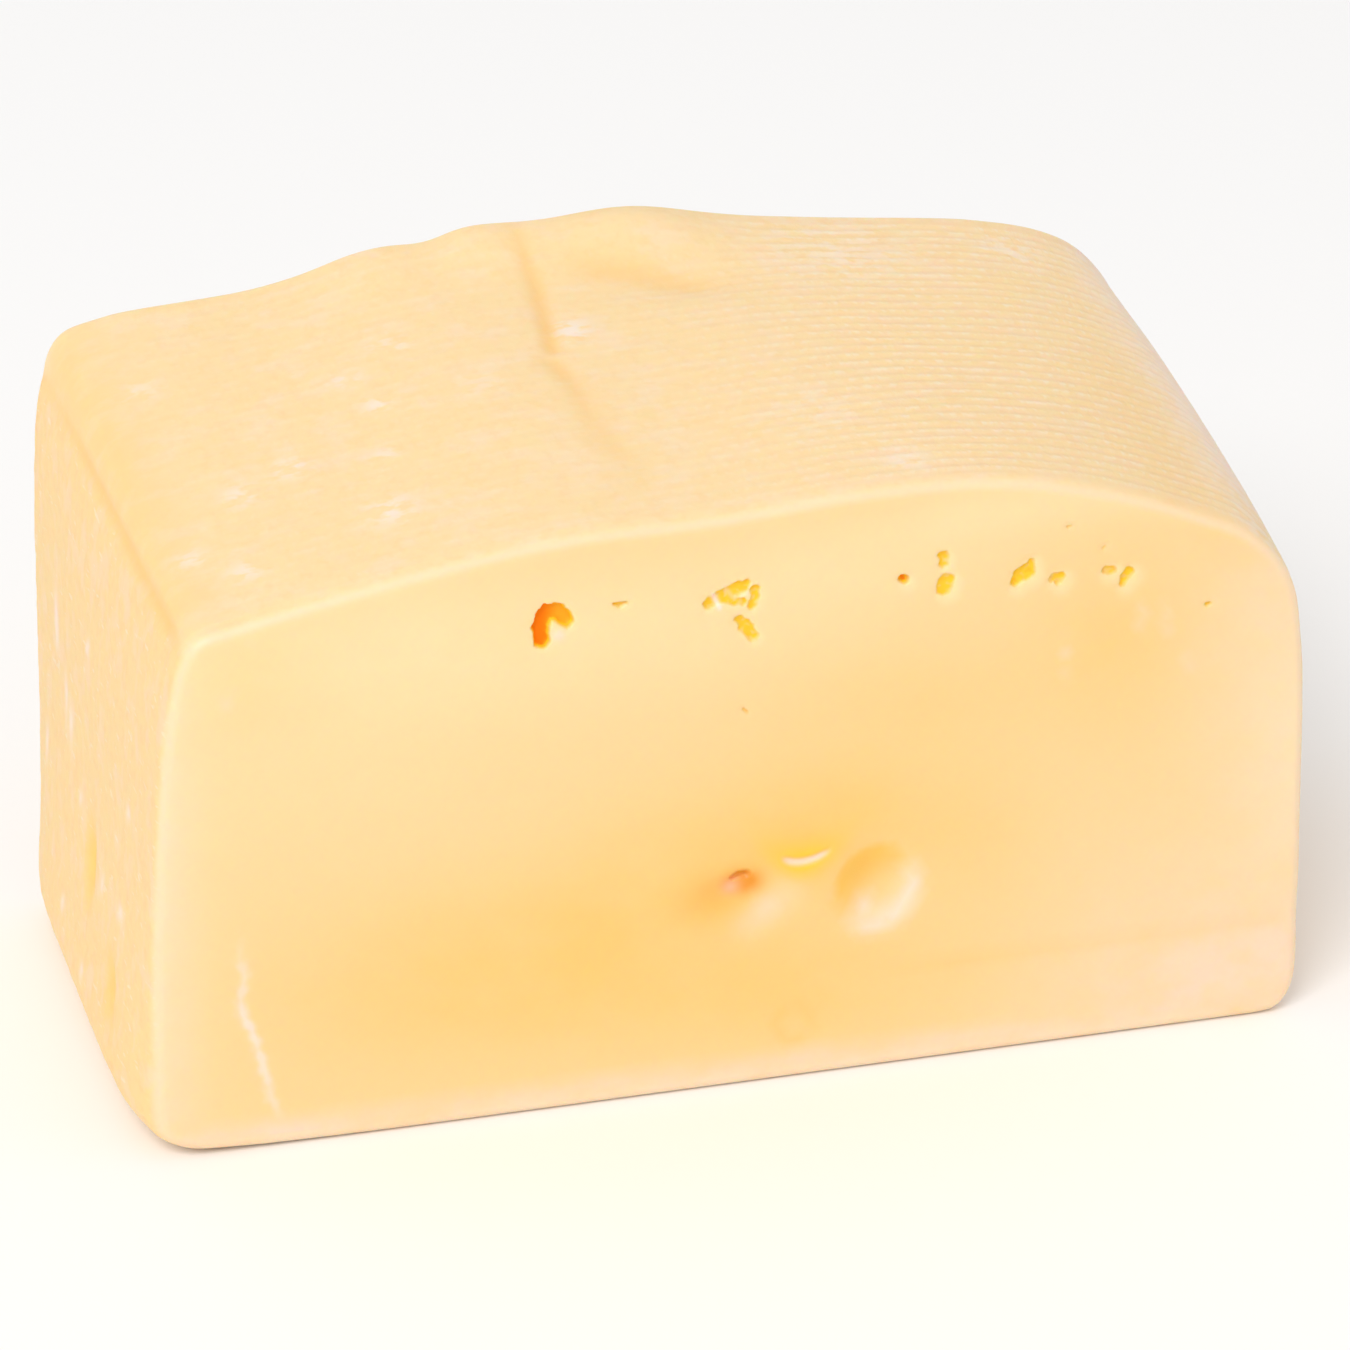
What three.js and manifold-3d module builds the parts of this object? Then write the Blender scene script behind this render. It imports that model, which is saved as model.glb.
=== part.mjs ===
// A block of semi-hard cheese, cut by hand from a low, rounded loaf.
// It is one solid: a cut face in front with gas eyes in it, a parallel cut behind,
// a crowned rind on top that rolls over into the right side, and a flat base.
//
// Frame: millimetres. +X runs along the cut face to its right end, +Y from the cut
// face to the back, +Z up. The origin is under the middle of the block, on its base.

import * as THREE from "three";
import { mergeVertices } from "three/addons/utils/BufferGeometryUtils.js";
import Module from "manifold-3d";

// ---- Driving dimensions ------------------------------------------------------------

const WIDTH = 130; // along the cut face
const FRONT_HEIGHT = 70.5; // crown of the cut face
const BACK_HEIGHT = 75.5; // crown of the back cut, without the lump in the rind
const BASE_DEPTH = 62.5; // front to back at the base
const FRONT_LEAN = 1.5; // how far the cut face leans forward at the crown
const BACK_LEAN = 3.2; // how far the back cut leans back at the crown
const FRONT_EDGE = 1.4; // softened edge round the cut face
const BACK_EDGE = 2.4; // softened edge round the back cut
const RIGHT_SWELL = 1.1; // how far the rolled right end swells out half way back
const LEFT_SLUMP = 2.8; // how far the left end sags outwards at its foot
const SLUMP_HEIGHT = 34; // where that sag has faded out

const OUTLINE_STEPS = 6; // samples between two outline points
const DEPTH_STEPS = 20; // rings between the two cuts
const EDGE_STEPS = 3; // rings over each softened edge

// ---- Outlines of the two cuts ------------------------------------------------------
// Each point is [share of half the width, share of the crown's height], clockwise from
// the base's left end as seen from the front. Both outlines list the same corners, so
// that the skin between them runs from corner to corner.

const FRONT_OUTLINE = [
  [-0.5, 0], [-0.72, 0.002], [-0.86, 0.006], [-0.94, 0.016], [-0.984, 0.05], [-0.991, 0.19], [-0.985, 0.42],
  [-0.962, 0.7], [-0.932, 0.842], [-0.905, 0.878], [-0.83, 0.898],
  [-0.58, 0.944], [-0.3, 0.98], [-0.04, 0.985], [0.2, 1], [0.42, 0.995], [0.6, 0.96],
  [0.78, 0.897], [0.885, 0.845], [0.95, 0.765], [0.973, 0.66], [0.985, 0.42],
  [0.989, 0.19], [0.986, 0.045], [0.96, 0.008], [0.92, 0],
];

const BACK_OUTLINE = [
  [-0.5, 0], [-0.72, 0], [-0.88, 0.002], [-0.96, 0.014], [-0.985, 0.065], [-0.988, 0.19], [-0.989, 0.42],
  [-0.983, 0.66], [-0.966, 0.833], [-0.93, 0.915], [-0.85, 0.94],
  [-0.6, 0.957], [-0.36, 0.992], [-0.06, 0.998], [0.2, 0.995], [0.45, 0.973], [0.7, 0.945],
  [0.83, 0.913], [0.89, 0.88], [0.955, 0.8], [0.98, 0.68], [0.998, 0.42],
  [1, 0.19], [0.996, 0.05], [0.972, 0.01], [0.92, 0],
];

// ---- Relief of the rind ------------------------------------------------------------
// Bumps and hollows of the top, as [x, y, reach along x, reach along y, height].

const RIND_SWELLS = [
  [4, 30, 9, 5.5, 2.6], // lump beside the back cut
  [7, 19, 8, 3.2, -0.9], // hollow in front of the lump
  [-14, 31.5, 10, 6, 1.9], // low swelling left of the lump
];

// A fold that the wrapping pressed into the rind: points along its bottom, as [x, y].
const FOLD_PATH = [[-8.2, 27.5], [-8.7, 21], [-10.3, 8], [-10.4, -9], [-9.4, -21]];
const FOLD_DEPTH = 0.7;
const FOLD_REACH = 2.2; // half its width

// ---- Eyes --------------------------------------------------------------------------
// Gas holes that the knife opened, as [x, z, half width, half height, depth, turn in
// degrees]. Each is the part of an ellipsoid that reaches behind the cut face.

const EYES = [
  [15.8, 22.9, 4.7, 5.2, 2.3, 0], // the large round eye
  [0.2, 25.5, 1.6, 1, 2.6, 20], // a dimple beside it
  [-21.7, 58.7, 1, 2.2, 6, -10], // deep hole, lower arm
  [-19.8, 60.4, 2, 1.1, 5, -35], // deep hole, upper arm
  [-1.7, 60.2, 2.7, 1, 1.8, 15], // broken pit, upper part
  [1.3, 59.5, 0.5, 1.2, 1.2, 0], // broken pit, right part
  [0.7, 56, 0.9, 1.7, 1.5, -30], // broken pit, lower part
  [17.9, 59.7, 0.5, 0.5, 2, 0], // pinhole
  [22.2, 61.5, 0.6, 0.9, 1.1, 0],
  [22.5, 58.5, 0.9, 1.2, 1.3, 20],
  [31, 58.7, 1.9, 1.1, 1.8, 45],
  [35, 57.6, 0.8, 0.8, 1.1, 0],
  [40.8, 57.9, 0.8, 0.5, 1, 0],
  [42.6, 56.9, 0.6, 1.1, 1.2, 30],
];

// ---- Sections ----------------------------------------------------------------------

const half = WIDTH / 2;
const CROWN = Math.max(FRONT_HEIGHT, BACK_HEIGHT);

// The closed outline as [x, z] samples, with a fixed number between two points.
function sampleOutline(points, height) {
  const curve = new THREE.CatmullRomCurve3(
    points.map(([across, up]) => new THREE.Vector3(across * half, 0, up * height)),
    true,
    "centripetal",
  );
  const count = points.length * OUTLINE_STEPS;
  return Array.from({ length: count }, (_, i) => {
    const point = curve.getPoint(i / count);
    return [point.x, Math.max(point.z, 0)];
  });
}

// The outline's inward normals, from each sample's two neighbours.
function inwardNormals(outline) {
  return outline.map((_, i) => {
    const [ax, az] = outline.at(i - 1);
    const [bx, bz] = outline[(i + 1) % outline.length];
    const length = Math.hypot(bx - ax, bz - az);
    return [(bz - az) / length, -(bx - ax) / length];
  });
}

const frontCut = sampleOutline(FRONT_OUTLINE, FRONT_HEIGHT);
const backCut = sampleOutline(BACK_OUTLINE, BACK_HEIGHT);

const frontPlane = (z) => -BASE_DEPTH / 2 - FRONT_LEAN * (z / CROWN);
const backPlane = (z) => BASE_DEPTH / 2 + BACK_LEAN * (z / CROWN);

// ---- Rind --------------------------------------------------------------------------

const bell = (t) => Math.exp(-t * t);

function distanceToFold(x, y) {
  let nearest = Infinity;
  for (let i = 1; i < FOLD_PATH.length; i++) {
    const [ax, ay] = FOLD_PATH[i - 1];
    const [bx, by] = FOLD_PATH[i];
    const along = ((x - ax) * (bx - ax) + (y - ay) * (by - ay)) / ((bx - ax) ** 2 + (by - ay) ** 2);
    const t = THREE.MathUtils.clamp(along, 0, 1);
    nearest = Math.min(nearest, Math.hypot(x - ax - t * (bx - ax), y - ay - t * (by - ay)));
  }
  return nearest;
}

// How far the rind stands above the plain skin at a place on the top.
function rindRelief(x, y) {
  const swells = RIND_SWELLS.reduce(
    (sum, [cx, cy, reachX, reachY, height]) =>
      sum + height * bell((x - cx) / reachX) * bell((y - cy) / reachY),
    0,
  );
  return swells - FOLD_DEPTH * bell(distanceToFold(x, y) / FOLD_REACH);
}

// ---- Block -------------------------------------------------------------------------

// How far an end stands out at a share of the way back, at a height, for the skin whose
// inward normal has this x.
function endSwell(share, z, nx) {
  if (nx < 0) return RIGHT_SWELL * (1 - (2 * share - 1) ** 2);
  return LEFT_SLUMP * (1 - (2 * share - 1) ** 6) * (1 - THREE.MathUtils.smoothstep(z, 0, SLUMP_HEIGHT));
}

// One ring of the skin: a share of the way from the front cut to the back cut, drawn in
// by an inset and held back from that end's plane by a setback, in millimetres.
function ring(share, inset, setback) {
  const section = frontCut.map(([x, z], i) => [
    THREE.MathUtils.lerp(x, backCut[i][0], share),
    THREE.MathUtils.lerp(z, backCut[i][1], share),
  ]);
  return inwardNormals(section).map(([nx, nz], i) => {
    let z = Math.max(section[i][1] + nz * inset, 0);
    const x = section[i][0] + nx * inset - nx * endSwell(share + setback / BASE_DEPTH, z, nx);
    const y = THREE.MathUtils.lerp(frontPlane(z), backPlane(z), share) + setback;
    z += rindRelief(x, y) * THREE.MathUtils.smoothstep(-nz, 0.5, 0.9);
    return new THREE.Vector3(x, y, z);
  });
}

// Rings over a softened edge, from the cut's plane to the skin.
function edgeRings(share, radius, side) {
  return Array.from({ length: EDGE_STEPS + 1 }, (_, i) => {
    const angle = (i / EDGE_STEPS) * (Math.PI / 2);
    return ring(share, radius * (1 - Math.sin(angle)), side * radius * (1 - Math.cos(angle)));
  });
}

function blockGeometry() {
  const rings = [
    ...edgeRings(0, FRONT_EDGE, 1),
    ...Array.from({ length: DEPTH_STEPS - 1 }, (_, i) => ring((i + 1) / DEPTH_STEPS, 0, 0)),
    ...edgeRings(1, BACK_EDGE, -1).reverse(),
  ];
  const round = rings[0].length;
  const indices = [];
  for (let r = 0; r < rings.length - 1; r++)
    for (let i = 0; i < round; i++) {
      const a = r * round + i;
      const b = r * round + ((i + 1) % round);
      indices.push(a, b, a + round, b, b + round, a + round);
    }
  const last = (rings.length - 1) * round;
  const flat = (points) => points.map(({ x, z }) => new THREE.Vector2(x, z));
  for (const [a, b, c] of THREE.ShapeUtils.triangulateShape(flat(rings[0]), []))
    indices.push(a, b, c);
  for (const [a, b, c] of THREE.ShapeUtils.triangulateShape(flat(rings.at(-1)), []))
    indices.push(last + a, last + c, last + b);
  return new THREE.BufferGeometry().setFromPoints(rings.flat()).setIndex(indices);
}

function eyeGeometry([x, z, halfWidth, halfHeight, depth, turn]) {
  const segments = halfWidth > 3 ? [28, 18] : [12, 8];
  return closed(new THREE.SphereGeometry(1, ...segments))
    .scale(halfWidth, depth, halfHeight)
    .rotateY(-THREE.MathUtils.degToRad(turn))
    .translate(x, frontPlane(z), z);
}

// ---- Solid -------------------------------------------------------------------------

const wasm = await Module();
wasm.setup();

// The geometry with its seams closed: only position is left, and shared vertices are one.
function closed(geometry) {
  geometry.deleteAttribute("normal");
  geometry.deleteAttribute("uv");
  return mergeVertices(geometry, 1e-4);
}

function toSolid(geometry) {
  return new wasm.Manifold(
    new wasm.Mesh({
      numProp: 3,
      vertProperties: new Float32Array(geometry.attributes.position.array),
      triVerts: new Uint32Array(geometry.index.array),
    }),
  );
}

function toGeometry(solid) {
  const { vertProperties, triVerts } = solid.getMesh();
  return new THREE.BufferGeometry()
    .setAttribute("position", new THREE.BufferAttribute(vertProperties, 3))
    .setIndex(new THREE.BufferAttribute(triVerts, 1));
}

let solid = toSolid(blockGeometry());
for (const eye of EYES) solid = solid.subtract(toSolid(eyeGeometry(eye)));

const geometry = toGeometry(solid);
geometry.computeBoundingBox();
const { min, max } = geometry.boundingBox;
geometry.translate(-(min.x + max.x) / 2, -(min.y + max.y) / 2, -min.z);
geometry.computeVertexNormals();

const cheesePaste = new THREE.MeshStandardMaterial({
  color: 0xf6cf86,
  roughness: 0.45,
  metalness: 0,
});

const cheese = new THREE.Mesh(geometry, cheesePaste);
cheese.name = "cheese_block";

const wedge = new THREE.Group();
wedge.add(cheese);

export default wedge;
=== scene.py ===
"""A hand-cut block of semi-hard cheese, lying on a plain white table under soft light."""

import math

import bpy
import numpy as np
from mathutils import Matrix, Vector, geometry, noise


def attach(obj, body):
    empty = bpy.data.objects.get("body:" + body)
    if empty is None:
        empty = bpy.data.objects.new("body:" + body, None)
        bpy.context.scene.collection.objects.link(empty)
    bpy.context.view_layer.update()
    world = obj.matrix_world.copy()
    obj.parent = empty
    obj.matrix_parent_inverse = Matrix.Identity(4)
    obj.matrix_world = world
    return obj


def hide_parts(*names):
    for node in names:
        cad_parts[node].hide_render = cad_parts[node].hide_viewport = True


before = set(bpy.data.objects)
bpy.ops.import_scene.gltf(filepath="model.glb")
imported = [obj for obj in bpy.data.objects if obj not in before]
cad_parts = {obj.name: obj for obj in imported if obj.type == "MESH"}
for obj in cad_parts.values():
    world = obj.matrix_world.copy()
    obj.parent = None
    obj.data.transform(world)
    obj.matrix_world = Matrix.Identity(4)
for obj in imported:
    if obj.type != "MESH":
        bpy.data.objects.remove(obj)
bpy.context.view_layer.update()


# ---- Studio ------------------------------------------------------------------------
# The block is looked down on from its front left, through a long lens, so its edges
# stay nearly parallel. It stands on white laminate in a white room, with one wide
# softbox above its front left corner.

MM = 0.001

camera_data = bpy.data.cameras.new("camera")
camera_data.lens = 200
camera_data.clip_end = 20
camera = bpy.data.objects.new("camera", camera_data)
bpy.context.scene.collection.objects.link(camera)
bpy.context.scene.camera = camera

camera_turn = math.radians(15.2)
camera_rise = math.radians(26.5)
camera_distance = 829.5 * MM
aim = Vector((2.0, -1.0, 35.0)) * MM
towards_camera = Vector(
    (
        -math.sin(camera_turn) * math.cos(camera_rise),
        -math.cos(camera_turn) * math.cos(camera_rise),
        math.sin(camera_rise),
    )
)
camera.location = aim + towards_camera * camera_distance
camera.rotation_euler = (-towards_camera).to_track_quat("-Z", "Y").to_euler()


def add_node(tree, kind, inputs=None, output=0, **settings):
    """Adds a node and gives its output by name or number, if it has one. Each input is given by
    its name or number, as a value or as the socket that feeds it."""
    node = tree.nodes.new(kind)
    for name, value in settings.items():
        setattr(node, name, value)
    for name, value in (inputs or {}).items():
        if isinstance(value, bpy.types.NodeSocket):
            tree.links.new(value, node.inputs[name])
        else:
            node.inputs[name].default_value = value
    return node.outputs[output] if node.outputs else None


def colour(code):
    """The linear RGBA of an sRGB hex colour."""
    parts = [int(code[i : i + 2], 16) / 255 for i in (0, 2, 4)]
    linear = [c / 12.92 if c <= 0.04045 else ((c + 0.055) / 1.055) ** 2.4 for c in parts]
    return (*linear, 1)


world = bpy.data.worlds.new("white_room")
world.use_nodes = True
world.node_tree.nodes["Background"].inputs["Color"].default_value = colour("FFFFFF")
world.node_tree.nodes["Background"].inputs["Strength"].default_value = 0.71
bpy.context.scene.world = world
bpy.context.scene.view_settings.view_transform = "Standard"

softbox_data = bpy.data.lights.new("softbox", "AREA")
softbox_data.size = 1.2
softbox_data.energy = 34
softbox = bpy.data.objects.new("softbox", softbox_data)
softbox.location = (-1.1, -1.5, 1.9)
softbox.rotation_euler = (aim - softbox.location).to_track_quat("-Z", "Y").to_euler()
bpy.context.scene.collection.objects.link(softbox)

# White laminate: even and matt, with only a trace of reflection under the block.
laminate = bpy.data.materials.new("white_laminate")
laminate.use_nodes = True
laminate_shader = laminate.node_tree.nodes["Principled BSDF"]
laminate_shader.inputs["Base Color"].default_value = colour("FDFCFB")
laminate_shader.inputs["Roughness"].default_value = 0.6

table_reach = 12.0
table_mesh = bpy.data.meshes.new("table")
corners = [(-1, -1), (1, -1), (1, 1), (-1, 1)]
table_mesh.from_pydata([(x * table_reach, y * table_reach, 0) for x, y in corners], [], [(0, 1, 2, 3)])
table_mesh.materials.append(laminate)
table = bpy.data.objects.new("table", table_mesh)
bpy.context.scene.collection.objects.link(table)


# ---- Cheese block ------------------------------------------------------------------
# One piece of semi-hard cheese, cut by hand from a low pressed loaf. Two knife cuts make
# its front and back, a third its left end, and the cloth-pressed rind closes its top and
# rolls over into the right end. Gas eyes show where the knife opened them.

# Sizes in millimetres, as in the construction: two outlines, front and back, each point a
# share of half the width and a share of the crown's height, clockwise from the base.
width = 130
front_height = 70.5
back_height = 75.5
base_depth = 62.5
front_lean = 1.5
back_lean = 3.2
front_edge = 1.4
back_edge = 2.4
right_swell = 1.1
left_slump = 2.8
slump_height = 34
crown = max(front_height, back_height)

front_points = [
    (-0.5, 0), (-0.72, 0.002), (-0.86, 0.006), (-0.94, 0.016), (-0.984, 0.05), (-0.991, 0.19),
    (-0.985, 0.42), (-0.962, 0.7), (-0.932, 0.842), (-0.905, 0.878), (-0.83, 0.898),
    (-0.58, 0.944), (-0.3, 0.98), (-0.04, 0.985), (0.2, 1), (0.42, 0.995), (0.6, 0.96),
    (0.78, 0.897), (0.885, 0.845), (0.95, 0.765), (0.973, 0.66), (0.985, 0.42),
    (0.989, 0.19), (0.986, 0.045), (0.96, 0.008), (0.92, 0),
]
back_points = [
    (-0.5, 0), (-0.72, 0), (-0.88, 0.002), (-0.96, 0.014), (-0.985, 0.065), (-0.988, 0.19),
    (-0.989, 0.42), (-0.983, 0.66), (-0.966, 0.833), (-0.93, 0.915), (-0.85, 0.94),
    (-0.6, 0.957), (-0.36, 0.992), (-0.06, 0.998), (0.2, 0.995), (0.45, 0.973), (0.7, 0.945),
    (0.83, 0.913), (0.89, 0.88), (0.955, 0.8), (0.98, 0.68), (0.998, 0.42),
    (1, 0.19), (0.996, 0.05), (0.972, 0.01), (0.92, 0),
]


def smoothstep(value, low, high):
    """Rises smoothly from 0 at low to 1 at high."""
    t = np.clip((value - low) / (high - low), 0, 1)
    return t * t * (3 - 2 * t)


def bell(value):
    """A bell curve: 1 in the middle, about a third at a distance of 1."""
    return np.exp(-value * value)


def rounded_outline(points, height, places):
    """A closed centripetal Catmull-Rom curve through the points, as [x, z] at the places, which
    count the points passed."""
    corner = np.array(points, float) * (width / 2, height)
    first = places.astype(int) % len(corner)
    t = (places - places.astype(int))[:, None]
    p0, p1, p2, p3 = (corner[(first + step) % len(corner)] for step in (-1, 0, 1, 2))
    d0, d1, d2 = (
        np.sqrt(np.linalg.norm(b - a, axis=1))[:, None] for a, b in ((p0, p1), (p1, p2), (p2, p3))
    )
    start = ((p1 - p0) / d0 - (p2 - p0) / (d0 + d1) + (p2 - p1) / d1) * d1
    end = ((p2 - p1) / d1 - (p3 - p1) / (d1 + d2) + (p3 - p2) / d2) * d1
    curve = (
        p1
        + start * t
        + (3 * (p2 - p1) - 2 * start - end) * t**2
        + (2 * (p1 - p2) + start + end) * t**3
    )
    curve[:, 1] = np.maximum(curve[:, 1], 0)
    return curve


def samples_per_mm(x, z):
    """How closely the skin is sampled around the block: coarsely under the base, finely over the
    fold in the rind, the crease at the left end, that end itself, and the corners."""
    plain = np.where(z < 0.8, 0.25, 1.0)
    fold = bell((x + 9.5) / 5) * (z > 40)
    crease = bell((z - 62) / 3.5) * (x < -56)
    left_end = (x < -60) * (z > 0.8)
    bends = (bell((z - 1.5) / 2.5) + bell((z - 58) / 6)) * (np.abs(x) > 56)
    return plain + 1.5 * fold + 1.2 * crease + 0.6 * left_end + 0.8 * bends


dense = np.linspace(0, len(front_points), 4000, endpoint=False)
dense_x, dense_z = rounded_outline(front_points, front_height, dense).T
dense_step = np.hypot(np.diff(dense_x, append=dense_x[0]), np.diff(dense_z, append=dense_z[0]))
effort = np.concatenate(([0], np.cumsum(dense_step * samples_per_mm(dense_x, dense_z))))
around = int(effort[-1])
places = np.interp(
    np.arange(around) * effort[-1] / around, effort, np.append(dense, len(front_points))
)
front_outline = rounded_outline(front_points, front_height, places)
back_outline = rounded_outline(back_points, back_height, places)
girth = np.interp(places, dense, np.concatenate(([0], np.cumsum(dense_step)[:-1])))


def front_plane(z):
    """The y of the front cut at a height. The cut leans outwards."""
    return -base_depth / 2 - front_lean * z / crown


def back_plane(z):
    """The y of the back cut at a height. It leans outwards too."""
    return base_depth / 2 + back_lean * z / crown


# Relief of the rind: each swell as (x, y, reach along x, reach along y, height), and each fold
# that the press cloth left as its reach and the points along its bottom, (x, y, depth).
rind_swells = [
    (4, 30, 9.5, 6, 2.6),
    (7, 18.5, 8.5, 4.2, -0.6),
    (-14, 31.5, 10, 6, 1.9),
    (-27, 31.5, 4.5, 6, 0.5),
    (-18.5, 31.5, 3.5, 6, -0.9),
]
cloth_folds = [
    (1.1, [(-8.7, 30.5, 0.15), (-8.6, 25.8, 0.25), (-8.8, 20.8, 0.32), (-9.8, 12.3, 0.36)]),
    (1.1, [(-9.8, 12.3, 0.36), (-10.6, 6.8, 0.34), (-11.6, 5.6, 0.1)]),
    (1.4, [(-11.8, 6.6, 0.1), (-10.9, 2.9, 0.28), (-10.3, -0.6, 0.22), (-10.2, -8.4, 0.15)]),
    (1.8, [(-10.2, -8.4, 0.15), (-9.5, -15, 0.14), (-9, -22, 0.06)]),
    (2.4, [(-5, 25.5, 0.05), (-1, 22.6, 0.22), (3.4, 21.2, 0.24), (8, 17.8, 0.2), (12.5, 15.8, 0.05)]),
]

# Dents pressed into the trimmed left end, as (y, z, depth) along each.
end_dents = [
    (2.2, [(-0.3, 27.5, 0), (-0.9, 24.8, 0.4), (-1.5, 22.3, 0.8), (-2.4, 19.4, 0.6), (-3.2, 15.8, 0)]),
    (2.5, [(-14.4, 19, 0), (-15.2, 16.4, 0.35), (-15.8, 14, 0.6), (-16.6, 11.2, 0.4), (-17.2, 8.5, 0)]),
]

# Pale scratches and flecks on it, as (y, z, strength) along each.
end_scratches = [
    (1.1, [(19.9, 44.6, 0.2), (19.5, 41.8, 1), (19.3, 38.6, 0.8), (19.6, 36.4, 0.1)]),
    (0.9, [(14.6, 37.2, 0.2), (14.2, 34.6, 0.9), (14.5, 31.2, 0.3)]),
    (1.1, [(11.8, 34.4, 0.3), (11.6, 32, 1), (12.1, 29.4, 0.2)]),
    (0.9, [(24.3, 26.2, 0.2), (24.1, 23.8, 1), (23.8, 21.6, 0.2)]),
    (0.8, [(2.5, 45.9, 0.6), (3.1, 45.1, 0.9)]),
    (0.8, [(4.7, 26.6, 0.5), (5.2, 26, 0.9)]),
    (0.9, [(-18.9, 36.2, 0.9), (-18.1, 35.6, 0.6)]),
    (0.7, [(-8.8, 23.4, 0.4), (-8.7, 22.2, 0.9)]),
    (0.9, [(-17.9, 23.7, 1), (-17.2, 23.2, 0.7)]),
    (0.8, [(9.2, 11.4, 0.8), (9.7, 10.5, 0.8)]),
    (0.8, [(-2.9, 9.2, 0.9), (-2.4, 8.3, 0.6)]),
]

# Where the rind has dried to a pinkish bloom: (x, y, reach, strength).
bloom_places = [
    (-7.6, 10.4, 2.6, 1), (-42.5, -6, 2.2, 0.9), (-34.7, -19, 2.6, 1), (-48.6, -8.8, 2.2, 0.8),
    (-33.2, 8.8, 2, 0.7), (-56, -18, 1.8, 0.7), (-51.2, -23, 2, 0.8), (-54.4, 16, 2.4, 0.5),
    (-31.2, 2.2, 1.6, 0.9), (-27, 13.4, 2.4, 0.7), (-19.8, 1.6, 3, 0.4), (-32.8, -8.2, 1.8, 0.7),
    (19.6, -26.6, 2.6, 0.7), (47.8, 25.6, 4, 0.6), (27, 24, 9, 0.5), (14, -14, 6, 0.35),
]


def path_distance(x, y, path):
    """The distance to a path of (x, y, value) points, and the path's value at the nearest place."""
    nearest = np.full(x.shape, np.inf)
    value = np.zeros(x.shape)
    for (ax, ay, a), (bx, by, b) in zip(path, path[1:]):
        t = ((x - ax) * (bx - ax) + (y - ay) * (by - ay)) / ((bx - ax) ** 2 + (by - ay) ** 2)
        t = np.clip(t, 0, 1)
        distance = np.hypot(x - ax - t * (bx - ax), y - ay - t * (by - ay))
        value = np.where(distance < nearest, a + t * (b - a), value)
        nearest = np.minimum(nearest, distance)
    return nearest, value


def pressed_lines(x, y, lines):
    """The depth of the deepest of these lines at each place."""
    pressed = np.zeros(x.shape)
    for reach, path in lines:
        distance, depth = path_distance(x, y, path)
        pressed = np.maximum(pressed, depth * bell(distance / reach))
    return pressed


def patches(x, y, spots):
    """The sum of soft round patches, each (x, y, reach, strength)."""
    return sum(strength * bell(np.hypot(x - px, y - py) / reach) for px, py, reach, strength in spots)


def end_swell(share, z, nx):
    """How far an end stands out, for the skin whose inward normal has this x."""
    right = right_swell * (1 - (2 * share - 1) ** 2)
    left = left_slump * (1 - (2 * share - 1) ** 6) * (1 - smoothstep(z, 0, slump_height))
    return np.where(nx < 0, right, left)


# The crease under the rind at the left end: its height at the front cut, how much higher it is
# at the back cut, its reach and its depth.
crease_height = 60.6
crease_rise = 4.6
crease_reach = 0.9
crease_depth = 0.35

# Where along x the left end lies, the shoulder beside it begins, the right shoulder rolls over,
# and the ribs of the press cloth come in. Then how far in from a cut the rind has dried.
left_end_limit = -50
left_shoulder = (-62, -50)
right_roll = (51, 62)
ribs_come_in = (-10, 28)
dried_reach = 4


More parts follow.
